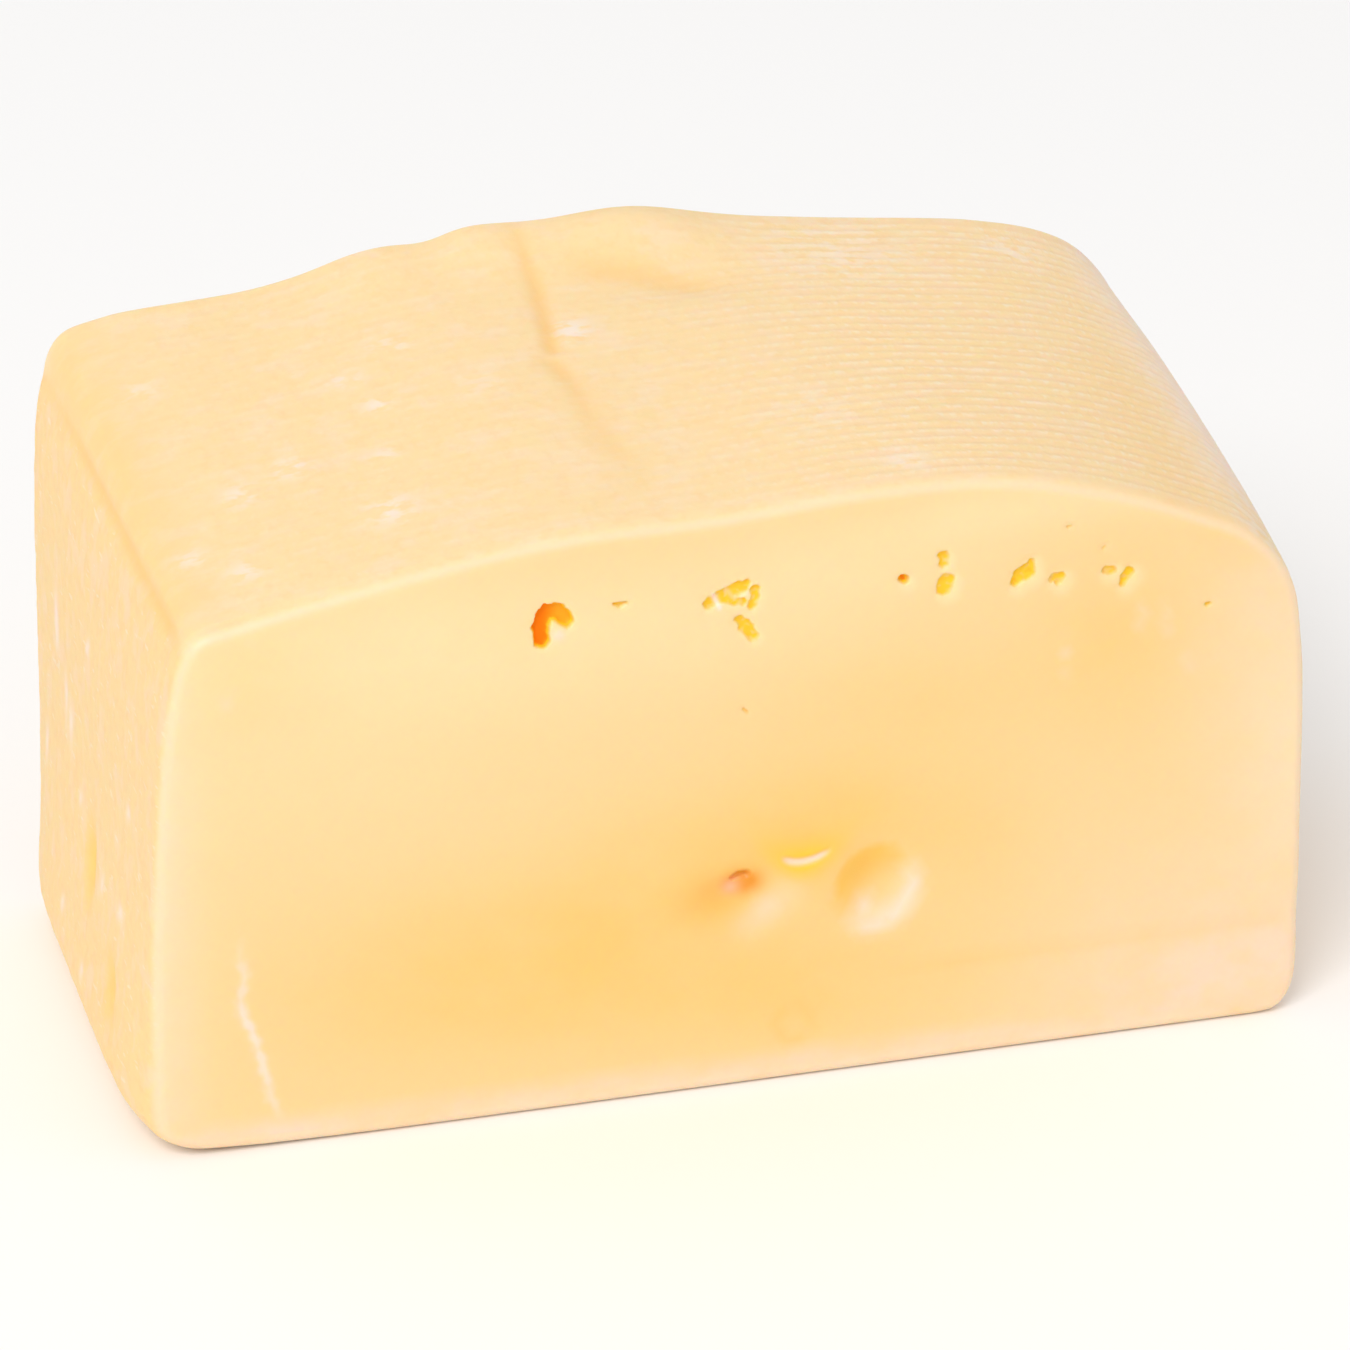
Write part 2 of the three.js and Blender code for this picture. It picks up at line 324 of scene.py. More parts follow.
def ring(share, inset, setback):
    """One ring of the skin and its marks, at a share of the way from the front cut to the back
    cut, drawn in by an inset and held back from that cut's plane by a setback."""
    section = front_outline + (back_outline - front_outline) * share
    along = np.roll(section, -1, axis=0) - np.roll(section, 1, axis=0)
    along /= np.linalg.norm(along, axis=1)[:, None]
    nx, nz = along[:, 1], -along[:, 0]
    z = np.maximum(section[:, 1] + nz * inset, 0)
    true_share = share + setback / base_depth
    x = section[:, 0] + nx * inset - nx * end_swell(true_share, z, nx)
    y = front_plane(z) + (back_plane(z) - front_plane(z)) * share + setback

    top = smoothstep(-nz, 0.5, 0.9)
    swells = sum(
        height * bell((x - cx) / reach_x) * bell((y - cy) / reach_y)
        for cx, cy, reach_x, reach_y, height in rind_swells
    )
    fold = pressed_lines(x, y, cloth_folds)
    crease_line = crease_height + crease_rise * np.clip(true_share, 0, 1)
    crease = bell((z - crease_line) / crease_reach) * (x < left_end_limit)
    crease = crease * smoothstep(true_share, 0.0, 0.1) * (1 - 0.6 * smoothstep(true_share, 0.6, 1))
    dent = pressed_lines(y, z, end_dents) * (nx > 0.5)
    scratches = pressed_lines(y, z, end_scratches)

    rim = 1 - inset / (front_edge if share < 0.5 else back_edge)
    base = smoothstep(nz, 0.6, 0.95)
    below_crease = 1 - smoothstep(z, crease_line - 0.8, crease_line + 0.4)
    left_end = (x < left_end_limit) * below_crease * (1 - base)
    from_front = y - front_plane(z)
    from_cut = np.minimum(from_front, back_plane(z) - y)
    rind = smoothstep(rim, 0.5, 1) * (1 - left_end) * (1 - base)
    roll = smoothstep(x, *right_roll)
    side = smoothstep(-nx, 0.85, 1) * smoothstep(from_front, 2, 6)
    shoulder = 1 - smoothstep(x, *left_shoulder)
    pale_band = bell((x - 60.5) / 4) * (1 - side) * smoothstep(y, -30, -14)
    dull_band = bell((x - 51) / 6) * (1 - smoothstep(y, -6, 8))

    # The rind is ripest on its left shoulder, pinkish where it rolls over, and pale along that roll. Down
    # the right side it is painted deeper and darker as painted shade, and its folds, the crease at the
    # left end and the dents are painted darker and golden as painted shade. It is dry near each cut, and
    # on the lump, where the cloth left hardly a rib, it is painted paler as a painted highlight.
    marks = {
        "rind": rind * (1 - 0.6 * shoulder),
        "trimmed": smoothstep(rim, 0.3, 1) * left_end,
        "cloth": rind
        * (0.25 + 0.75 * smoothstep(x, *ribs_come_in))
        * (1 - 0.7 * bell(np.hypot((x - 4) / 14, (y - 30) / 13)))
        * smoothstep(x, -60, -48)
        * smoothstep(from_cut, 0.5, 3.5),
        "base": base,
        "ripe_and_shade": 1.15 * (1 - smoothstep(x, -62, -52)) * rind + (0.1 * roll + 0.9 * side) * rind,
        "dry_and_highlight": (1 - base) * (1 - 0.6 * left_end) * 0.85 * bell(from_cut / dried_reach)
        + 0.45 * top * bell(np.hypot((x - 4) / 10, (y - 26) / 5)),
        "blush": np.maximum(roll * rind * (1 - 0.75 * side), 0.5 * base),
        "bloom": top * patches(x, y, bloom_places) + 0.6 * roll * rind * (1 - 0.6 * side),
        "stain_and_shade": np.maximum(fold * top * 2.1, np.maximum(0.7 * crease, dent))
        + (0.3 * side + 0.16 * top * dull_band) * rind,
        "hollow": 0.4 * dent,
        # The edge mark is a painted highlight along the softened edge of each cut.
        "edge": 0.85 * bell((rim - 0.6) / 0.35) * (1 - base),
        "cream": scratches * (nx > 0.5) * smoothstep(rim, 0.6, 1) + 0.7 * rind * pale_band,
    }
    x = x + crease_depth * crease + dent
    z = z + (swells - fold) * top
    return np.stack([x, y, z], axis=1), marks


# How many steps the skin has from cut to cut, and over each softened edge.
rings_between = 180
edge_rings = 6


def edge(share, radius, side):
    """Rings over a softened edge, from the cut's plane to the skin."""
    angles = np.linspace(0, math.pi / 2, edge_rings + 1)
    return [ring(share, radius * (1 - math.sin(a)), side * radius * (1 - math.cos(a))) for a in angles]


shares = np.linspace(0, 1, rings_between + 1)
front_skip = front_edge / base_depth
back_skip = back_edge / base_depth
inner_shares = [s for s in shares if 1.2 * front_skip < s < 1 - 1.2 * back_skip]
rings = [
    *edge(0, front_edge, 1),
    *[ring(share, 0, 0) for share in inner_shares],
    *reversed(edge(1, back_edge, -1)),
]

# Eyes in the front cut, in millimetres on it. Each is (depth, run of its wall, ragged edge,
# [(x, z, radius) along its middle]). They are torn a little where the knife dragged.
front_eyes = [
    (1.0, 0.6, 0.2, [(-21.65, 57.4, 0.85), (-21.9, 59.2, 0.9), (-21.2, 60.7, 1.05), (-20, 60.6, 1.05),
                     (-19.1, 59.5, 0.85)]),
    (0.4, 0.3, 0.05, [(-13.9, 60.8, 0.2), (-13.3, 60.6, 0.42), (-12.6, 60.75, 0.2)]),
    (0.45, 0.8, 0.35, [(-3.8, 59.5, 0.6), (-2.6, 60.1, 0.9), (-1.3, 60.3, 1.1), (-0.2, 60.9, 0.95),
                     (0.4, 61.4, 0.5)]),
    (0.4, 0.6, 0.3, [(1.5, 60.6, 0.55), (1.45, 59.5, 0.6), (1.1, 58.6, 0.4)]),
    (0.36, 0.6, 0.3, [(-1, 59.4, 0.5), (0.1, 59.3, 0.5)]),
    (0.45, 0.7, 0.3, [(-0.3, 57.2, 0.45), (0.5, 56.3, 0.8), (1.15, 55.2, 0.7)]),
    (0.75, 0.4, 0.08, [(17.8, 59.75, 0.55), (17.95, 59.65, 0.55)]),
    (0.45, 0.6, 0.25, [(22.2, 61.9, 0.6), (22.2, 61, 0.45)]),
    (0.42, 0.8, 0.25, [(22.7, 59, 0.8), (22.3, 58.1, 0.9)]),
    (0.5, 0.8, 0.3, [(31.9, 60, 0.5), (31.6, 59, 1.0), (30.7, 58.4, 0.9), (30.2, 57.6, 0.5)]),
    (0.4, 0.6, 0.25, [(34.7, 57.7, 0.7), (35.3, 57.8, 0.6), (35, 57.2, 0.45)]),
    (0.4, 0.5, 0.15, [(40.4, 57.9, 0.48), (41.2, 57.85, 0.45)]),
    (0.42, 0.6, 0.2, [(43, 57.4, 0.6), (42.6, 56.8, 0.6), (42.3, 56.1, 0.35)]),
    (0.25, 0.2, 0.04, [(36, 63.6, 0.2), (36.3, 63.7, 0.14)]),
    (0.15, 0.2, 0.04, [(40, 60.6, 0.2), (40.2, 60.8, 0.12)]),
    (0.3, 0.3, 0.04, [(52, 52.3, 0.3), (52.3, 52.4, 0.24)]),
    (0.25, 0.2, 0.04, [(0.3, 46.5, 0.16), (0.7, 46.1, 0.2)]),
]
# The back cut opened fewer eyes.
back_eyes = [
    (1.6, 0.7, 0.2, [(24, 58.5, 0.9), (25.4, 59.3, 0.8)]),
    (1.1, 0.5, 0.15, [(8.6, 61.4, 0.5), (9.2, 60.6, 0.4)]),
    (2.2, 1.6, 0.1, [(-18, 33, 2.2), (-17.2, 33.4, 2.1)]),
    (0.9, 0.5, 0.12, [(-36.5, 57.8, 0.5), (-35.7, 58.3, 0.4)]),
    (1.3, 0.6, 0.2, [(37.5, 26.6, 0.7), (38.4, 27.4, 0.9), (39.3, 27.3, 0.5)]),
    (0.8, 0.4, 0.1, [(-3.2, 22.4, 0.5), (-2.5, 22.2, 0.4)]),
]
# Pale curd smeared by the knife, as reaches and (x, z, strength) along each.
knife_smears = [
    (0.5, [(44.4, 53.8, 0.1), (44.6, 51.8, 0.5), (44.5, 49.6, 0.1)]),
    (0.5, [(47, 53.2, 0.1), (47.5, 51.2, 0.6), (47.9, 49, 0.1)]),
    (0.35, [(35.9, 50.8, 0.1), (36.1, 48, 0.45), (36.5, 45, 0.1)]),
    (0.6, [(49.9, 47, 0.1), (50.2, 45.8, 0.45), (50.6, 44.6, 0.1)]),
    (0.5, [(-55.9, 54.2, 0.3), (-55.6, 55.8, 0.5)]),
    (0.45, [(-53.6, 61.2, 0.3), (-53.2, 62.4, 0.5)]),
]
pale_vein = [
    (-54.8, 26, 0.1), (-54.9, 23.9, 0.5), (-54.3, 21.6, 0.8), (-54.9, 19.6, 0.7), (-54.7, 17.1, 1),
    (-53.7, 15.2, 1), (-53.1, 12.6, 0.9), (-52.3, 9.4, 0.9), (-51.7, 6.2, 0.7), (-50.9, 3.8, 0.2),
]

# Colour in the paste, alike in both cuts: where it is ripe and deep yellow, and where it is dry
# and pale, as (x, z, reach along x, reach along z, strength).
ripe_zones = [
    (-23, 18.5, 25, 11, 0.95),
    (-6, 29, 14, 9, 0.45),
    (11, 31, 12, 8, 0.75),
    (27, 27, 9, 10, 0.3),
    (17, 45, 15, 7, 0.35),
    (41, 49, 9, 10, 0.5),
    (8, 11, 18, 7, 0.55),
    (-54, 58, 5, 5, 0.45),
    (57, 62, 6, 4.5, 0.8),
]
dry_zones = [
    (-66, 34, 8, 40, 0.6),
    (-46, 61, 26, 9, 0.42),
    (-14, 57, 30, 8, 0.5),
    (-46, 44, 22, 12, 0.25),
    (12, 62, 18, 4, 0.3),
    (28, 66.5, 20, 3, 0.5),
    (66, 34, 9, 22, 0.7),
]


def ragged(x, z, size):
    """Smooth noise from -1 to 1 with lumps of about that size."""
    return np.array([noise.noise(Vector((a / size, 3.7, b / size))) for a, b in zip(x, z)])


def eye_distance(x, z, spine):
    """How far a place lies outside the edge of an eye, in millimetres."""
    distance, radius = path_distance(x, z, spine)
    return distance - radius


# The knife tears an eye's edge into bits of this size and wears down a lip round it. Deeper eyes also have
# a pale halo set off to their lower right, a painted highlight where their rim catches the light.
torn_size = 0.7
lip_depth = 0.1
lip_reach = 0.7
halo_offset = (0.45, -0.55)
halo_reach = 0.8
halo_strength = 0.55
halo_least_depth = 0.35
# Eyes shallower than this depth have streaks of this size in them. Nothing of an eye shows
# farther off than its surround.
streaked_depth = 0.8
streak_size = 0.5
eye_surround = 3


def cut_paste(x, z, eyes):
    """The depth of a cut's eyes below its plane, and the marks of its paste."""
    depth = np.zeros(x.shape)
    hollow = np.zeros(x.shape)
    halo = np.zeros(x.shape)
    for deepest, run, tear, spine in eyes:
        outside = eye_distance(x, z, spine)
        near = outside < eye_surround
        outside[near] += tear * ragged(x[near], z[near], torn_size)
        streaks = np.ones(x.shape)
        streaked = 0.7 * (deepest < streaked_depth)
        streaks[near] = 0.85 + streaked * ragged(x[near] + 40, z[near], streak_size)
        inside = np.clip(-outside / run, 0, 1)
        pit = deepest * np.sqrt(1 - (1 - inside) ** 2)
        lip = lip_depth * (1 - smoothstep(outside, 0, lip_reach))
        depth = np.maximum(depth, pit + lip)
        # The eyes are painted a deeper golden the deeper they are: painted shade in the hollows.
        filled = smoothstep(-outside, -0.12, 0.3) * np.clip(streaks, 0.3, 1)
        hollow = np.maximum(hollow, filled * np.clip(0.25 + 0.75 * deepest, 0, 1))
        if deepest > halo_least_depth:
            off = eye_distance(x - halo_offset[0], z - halo_offset[1], spine)
            glow = halo_strength * bell(np.clip(off, 0, None) / halo_reach)
            halo = np.maximum(halo, glow * (outside > 0))

    def zone_sum(zones):
        return sum(s * bell((x - px) / rx) * bell((z - pz) / rz) for px, pz, rx, rz, s in zones)

    # The paste is pinkish at its foot on the right, along its bottom edge and at its sides.
    foot = 0.8 * (1 - smoothstep(z, 2, 36)) + 0.18 * (1 - smoothstep(z, 9, 15))
    foot = foot * smoothstep(x, 22, 58)
    bottom = (1 - smoothstep(z, 1.2, 5.2)) * (0.85 + 0.5 * ragged(x, z, 9))
    sides = 0.45 * smoothstep(x, 44, 66) + 0.5 * (1 - smoothstep(x, -65, -57))
    marks = {
        "hollow": hollow,
        "ripe_and_shade": zone_sum(ripe_zones) * (1 - 0.8 * foot),
        # The dry zones are real dry paste; the halos added to them are painted highlights.
        "dry_and_highlight": np.maximum(zone_sum(dry_zones), halo),
        "blush": np.maximum(np.maximum(0.85 * foot, bottom), sides),
    }
    return depth, marks


# What only the front cut shows, at (x, z) in millimetres on it. First the large round eye, a shallow bowl,
# with two painted highlights in it as (x, z, reach, strength).
bowl_centre = (15.3, 22.9)
bowl_reach = (4.8, 5.3)
bowl_depth = 1.3
highlight_spots = [(14.4, 20.2, 1.2, 0.75), (17.9, 20.3, 0.9, 1)]

# The dimple that the knife dragged open: a funnel, a slit under a sharp lip, its floor, and a
# raised curl with a pale spot. Paths are (x, z, radius), and the radius is 1 where none is used.
funnel_centre = (-1.6, 24.2)
funnel_reach = (3.6, 2.2)
funnel_depth = 0.75
slit_path = [(-0.6, 25.8, 0.1), (0.1, 26.15, 0.2), (0.8, 26.2, 0.12)]
slit_depth = 0.85
slit_floor = [(-0.2, 25.4, 0.3), (0.7, 25.3, 0.4), (1.2, 25.4, 0.2)]
curl_path = [(1.4, 21, 1), (3.4, 22.4, 1), (5, 23.4, 1)]
curl_reach = 2.2
curl_height = 0.25
curl_pale_spot = (3.2, 21.9)
pink_spot = (-0.8, 24.75)

# The flat eye cut at a slant: a crescent, lowest at this place, that bends up this much. The
# golden paste round it reaches this far to either side, above and below.
crescent_lowest = (7, 26.95)
crescent_bend = 0.1
crescent_depth = 0.35
golden_reach = (3.7, 2.3, 1.8)

# The torn flap and the ridges in the cluster of eyes, the tooth of paste in the hooked eye, the
# ring of a blind eye just under the surface, and the height of a seam low on the right.
flap_path = [(-3.1, 60.5, 1), (-2.4, 58.9, 1)]
ridge_path = [(-1.9, 61.3, 1), (-0.9, 59.8, 1), (0.6, 60.3, 1)]
tooth_place = (-20, 58)
blind_eye_place = (6.5, 7.1)
blind_eye_radius = 2.1
blind_eye_depth = 0.1
seam_height = 12.4
vein_reach = 0.55


def distance_to(x, z, place):
    """The distance to one place."""
    return np.hypot(x - place[0], z - place[1])


def front_details(x, z, depth, marks):
    """Adds what only the front cut shows to its depth and its marks."""
    # The bowl is painted deep in colour under its upper left rim as painted shade, and pale on its lower
    # right rim and two spots as painted highlights.
    across = x - bowl_centre[0]
    up = z - bowl_centre[1]
    bowl = np.hypot(across / bowl_reach[0], up / bowl_reach[1])
    depth = np.maximum(depth, bowl_depth * (1 - smoothstep(bowl, 0.1, 1.12)))
    upper_left = (up * 0.75 - across * 0.66) / 5
    within = 1 - smoothstep(bowl, 0.8, 1.04)
    stain_and_shade = 0.95 * within * smoothstep(upper_left, -0.35, 0.7)
    cream = 0.9 * bell((bowl - 0.88) / 0.22) * smoothstep(-upper_left, -0.1, 0.7)
    for px, pz, reach, strength in highlight_spots:
        cream = np.maximum(cream, strength * bell(distance_to(x, z, (px, pz)) / reach))

    # The dimple: its funnel slants to the lower left, and its curl lies to the lower right.
    across = x - funnel_centre[0]
    up = z - funnel_centre[1]
    funnel = np.hypot((across + 0.5 * up) / funnel_reach[0], (up - 0.35 * across) / funnel_reach[1])
    depth = np.maximum(depth, funnel_depth * bell(funnel))
    slit = eye_distance(x, z, slit_path)
    under = eye_distance(x, z, slit_floor)
    depth = np.maximum(depth, slit_depth * smoothstep(-slit, -0.9, 0.2))
    # Painted shade: the funnel is painted darker, and the slit and its floor under the lip darker still.
    stain_and_shade = np.maximum(stain_and_shade, 0.95 * bell(funnel * 0.6))
    dimple_shade = np.maximum(0.08 * bell(funnel * 0.9), 0.95 * bell(np.clip(under, 0, None) / 1.2))
    dimple_shade = np.maximum(dimple_shade, bell(np.clip(slit, 0, None) / 0.3))
    curl = 0.8 * bell(path_distance(x, z, curl_path)[0] / curl_reach)
    depth = depth - curl_height * curl
    cream = np.maximum(cream, 0.4 * bell(distance_to(x, z, curl_pale_spot) / 1.6))
    # The pink spot in the dimple is partly the paste's colour and partly painted shade.
    pink = bell(distance_to(x, z, pink_spot))

    # The crescent has a painted glint along its floor, and the paste is golden on both sides of it.
    from_middle = x - crescent_lowest[0]
    smile = crescent_lowest[1] + crescent_bend * from_middle**2 * np.where(from_middle < 0, 1.3, 1)
    ends = smoothstep(x, 4.4, 5.8) * (1 - smoothstep(x, 9, 10.6))
    sag = z - smile
    depth = np.maximum(depth, crescent_depth * ends * bell((sag - 0.1) / 0.5))
    cream = np.maximum(cream, 0.85 * ends * bell(sag / 0.38))
    reach, above, below = golden_reach
    golden = bell(np.hypot((x - 7.3) / reach, np.where(sag > 0, sag / above, sag / below)))
    # The golden colour under the bowl's upper left rim is painted shade too.
    hollow = np.maximum(0.45 * golden, 0.14 * within * smoothstep(upper_left, -0.3, 0.6))
    stain_and_shade = np.maximum(stain_and_shade, 0.5 * bell(np.hypot((x - 7) / 5.5, (z - 28) / 3)))

    # Among the upper eyes, a painted glint along the torn flap, pale torn ridges, and a painted highlight
    # on the tooth of paste in the hooked eye.
    cream = np.maximum(cream, bell(path_distance(x, z, flap_path)[0] / 0.3))
    cream = np.maximum(cream, 0.35 * bell(path_distance(x, z, ridge_path)[0] / 0.25))
    outside_eyes = marks["hollow"] < 0.3
    cream = np.maximum(cream, 0.8 * bell(distance_to(x, z, tooth_place) / 0.7) * outside_eyes)

    # The hooked eye is lit through towards its upper right.
    lit_through = 0.17 * smoothstep(x, -21.6, -19.4) * (x < -16) * (z > 55)

    # A vein of paler curd runs up the left side, and a blind eye shows as a faint ring.
    vein_distance, vein_strength = path_distance(x, z, pale_vein)
    near = vein_distance < eye_surround
    vein_distance[near] += 0.5 * ragged(x[near], z[near], 1.1)
    cream = np.maximum(cream, 0.95 * vein_strength * bell(vein_distance / vein_reach))
    cream = np.maximum(cream, pressed_lines(x, z, knife_smears))
    blind = bell((distance_to(x, z, blind_eye_place) - blind_eye_radius) / 0.6)
    depth = depth + blind_eye_depth * blind
    # A slightly darker seam runs low across the right.
    seam = bell((z - seam_height) / 0.9) * smoothstep(x, 14, 26)

    clear = 1 - np.clip(cream, 0, 1)
    return depth, {
        **marks,
        "hollow": np.maximum(marks["hollow"] * (1 - lit_through), hollow * clear),
        "stain_and_shade": np.maximum(stain_and_shade, np.maximum(0.3 * blind, 0.22 * seam)) * clear,
        "ripe_and_shade": marks["ripe_and_shade"] * (1 - curl),
        "dry_and_highlight": marks["dry_and_highlight"] + 0.35 * curl,
        "blush": np.maximum(marks["blush"], 0.3 * curl),
        "cream": cream,
        "dimple_shade": dimple_shade,
        "pink": pink,
    }


# A cut's points may lie this far apart in its eyes and its small details, and farther apart by
# this share of the distance from them. Then the finest step of each cut's grids with the limit
# for the coarsest, and how far from its outline its points stay.
closest_points = 0.17
spacing_growth = 0.3
front_grids = (0.17, 1.5)
back_grids = (0.22, 1.8)
outline_clearance = 0.35


def wanted_spacing(x, z, eyes, details):
    """How far apart a cut's points may lie: close in and round its eyes and its small details."""
    away = np.full(x.shape, np.inf)
    for _, _, _, spine in eyes:
        away = np.minimum(away, eye_distance(x, z, spine))
    for spine in details:
        away = np.minimum(away, eye_distance(x, z, spine))
    return closest_points + spacing_growth * np.clip(away, 0, None)


# The small details of the front cut that its mesh follows closely, as (x, z, radius).
front_fine = [
    [(a, b, 0.4) for a, b, _ in pale_vein],
    [(-1.2, 25.4, 1.3), (1.1, 25.9, 1.0)],
    [(5, 27.8, 0.8), (7.3, 26.8, 0.8), (10, 27.8, 0.8)],
]


def triangulated_cut(outline, spacing_at, finest, coarsest):
    """Fills a cut's outline with points on triangular grids, each twice as coarse as the last,
    and joins them. Gives the points inside as [x, z], and the triangles, which count the
    outline's own points first."""
    (x0, z0), (x1, z1) = outline.min(axis=0), outline.max(axis=0)
    inside = []
    step = finest
    while step <= coarsest:
        gx, gz = np.meshgrid(np.arange(x0, x1, step), np.arange(z0, z1, step * math.sqrt(3) / 2))
        gx[1::2] += step / 2
        gx, gz = gx.ravel(), gz.ravel()
        spacing = spacing_at(gx, gz)
        keep = (spacing < 2 * step) | (step * 2 > coarsest)
        if step > finest:
            keep &= spacing >= step
        inside.append(np.stack([gx[keep], gz[keep]], axis=1))
        step *= 2
    inside = np.concatenate(inside)

    # Points that would crowd the outline are dropped.
    following = np.roll(outline, -1, axis=0) - outline
    keep = []
    for place in inside:
        offset = place - outline
        t = np.clip((offset * following).sum(axis=1) / (following**2).sum(axis=1), 0, 1)
        gap = np.hypot(*(offset - following * t[:, None]).T).min()
        keep.append(gap > outline_clearance)
    inside = inside[np.array(keep)]

    count = len(outline)
    points = np.concatenate([outline, inside])
    loop = [(i, (i + 1) % count) for i in range(count)]
    corners = [Vector(p) for p in points]
    _, _, triangles, sources, _, _ = geometry.delaunay_2d_cdt(corners, loop, [], 1, 1e-6)
    source = [s[0] for s in sources]
    triangles = np.array([[source[i] for i in t] for t in triangles])
    used = np.unique(triangles[triangles >= count])
    renumber = np.zeros(len(points), int)
    renumber[:count] = np.arange(count)
    renumber[used] = count + np.arange(len(used))
    return points[used], renumber[triangles]


front_ring, back_ring = rings[0][0], rings[-1][0]
front_inside, front_triangles = triangulated_cut(
    front_ring[:, [0, 2]], lambda x, z: wanted_spacing(x, z, front_eyes, front_fine), *front_grids
)
front_depth, front_marks = front_details(*front_inside.T, *cut_paste(*front_inside.T, front_eyes))
front_cap = np.stack(
    [front_inside[:, 0], front_plane(front_inside[:, 1]) + front_depth, front_inside[:, 1]], axis=1
)
back_inside, back_triangles = triangulated_cut(
    back_ring[:, [0, 2]], lambda x, z: wanted_spacing(x, z, back_eyes, []), *back_grids
)
back_depth, back_marks = cut_paste(*back_inside.T, back_eyes)
back_cap = np.stack(
    [back_inside[:, 0], back_plane(back_inside[:, 1]) - back_depth, back_inside[:, 1]], axis=1
)

# Round each cut's softened edge the paste is the cut's own as far as the rind.
for place, marks in rings[: edge_rings + 1] + rings[-edge_rings - 1 :]:
    own = cut_paste(place[:, 0], place[:, 2], [])[1]
    covered = np.maximum(marks["rind"], np.maximum(marks["trimmed"], marks["base"]))
    for name in ("ripe_and_shade", "dry_and_highlight", "blush"):
        marks[name] = own[name] + (marks[name] - own[name]) * covered

# Triangles, numbered through the skin's rings, then the front cut and the back cut.
mark_names = (
    "rind", "trimmed", "cloth", "base", "ripe_and_shade", "dry_and_highlight", "blush", "bloom", "stain_and_shade", "hollow", "edge",
    "dimple_shade", "pink", "cream",
)
skin = np.concatenate([place for place, _ in rings])
ring_start = np.arange(len(rings) - 1)[:, None] * around
a = (ring_start + np.arange(around)).ravel()
b = (ring_start + (np.arange(around) + 1) % around).ravel()
wall = np.concatenate([np.stack([a, b, a + around]), np.stack([b, b + around, a + around])], axis=1).T
front_first = len(skin)
back_first = front_first + len(front_cap)
last_ring = (len(rings) - 1) * around
front_faces = np.where(front_triangles < around, front_triangles, front_triangles - around + front_first)
back_faces = np.where(
    back_triangles < around, back_triangles + last_ring, back_triangles - around + back_first
)
points = np.concatenate([skin, front_cap, back_cap])
faces = np.concatenate([wall, front_faces, back_faces[:, ::-1]])

# The construction centres the block on its own box, so this mesh is centred on the same place.
middle = (points.min(axis=0) + points.max(axis=0)) / 2
points -= (middle[0], middle[1], 0)

block_mesh = bpy.data.meshes.new("cheese")
block_mesh.from_pydata((points * MM).tolist(), [], faces.tolist())
for name in mark_names:
    on_skin = [marks.get(name, np.zeros(around)) for _, marks in rings]
    on_front = front_marks.get(name, np.zeros(len(front_cap)))
    on_back = back_marks.get(name, np.zeros(len(back_cap)))
    values = np.concatenate([*on_skin, on_front, on_back])
    block_mesh.attributes.new(name, "FLOAT", "POINT").data.foreach_set("value", values)
girths = np.concatenate([np.tile(girth, len(rings)), np.zeros(len(front_cap) + len(back_cap))])
block_mesh.attributes.new("girth", "FLOAT", "POINT").data.foreach_set("value", girths * MM)
block_mesh.shade_smooth()

# Semi-hard cheese paste: pressed curd, cut with a knife and dried a little. To the eye it is
# waxy and slightly translucent, pale where it dried at the edges and a deeper yellow inside.
paste = bpy.data.materials.new("semi_hard_cheese_paste")
paste.use_nodes = True
tree = paste.node_tree
shader = tree.nodes["Principled BSDF"]
shader.inputs["IOR"].default_value = 1.45
shader.inputs["Subsurface Radius"].default_value = (1.0, 0.5, 0.22)
shader.inputs["Subsurface Scale"].default_value = 1.6 * MM

place = add_node(tree, "ShaderNodeTexCoord", output="Object")
marks = {
    name: add_node(tree, "ShaderNodeAttribute", attribute_name=name, output="Fac")
    for name in (*mark_names, "crest", "valley", "girth")
}

# Clouds in the paste, each with the size of its lumps in millimetres along x, y and z, and how
# much finer detail it holds. The threads of the press cloth show as knots 0.8 mm long on a rib.
cloth_place = add_node(
    tree,
    "ShaderNodeCombineXYZ",
    {"X": marks["girth"], "Y": add_node(tree, "ShaderNodeSeparateXYZ", {0: place}, output="Y")},
)
clouds = {}
for name, source, lump_sizes, detail in (
    ("zones", place, (13, 13, 9), 2),
    ("mottle", place, (5, 3, 4), 3),
    ("curd", place, (1.5, 1.5, 1.5), 2),
    ("grit", place, (0.8, 2.4, 0.7), 1),
    ("threads", cloth_place, (0.8, 1.9, 1), 1),
    ("flakes", place, (2.6, 1.7, 1.7), 2),
):
    scaled = add_node(
        tree,
        "ShaderNodeVectorMath",
        {0: source, 1: [1 / (size * MM) for size in lump_sizes]},
        operation="MULTIPLY",
    )
    clouds[name] = add_node(
        tree, "ShaderNodeTexNoise", {"Vector": scaled, "Scale": 1.0, "Detail": detail, "Roughness": 0.55},
        output="Fac",
    )

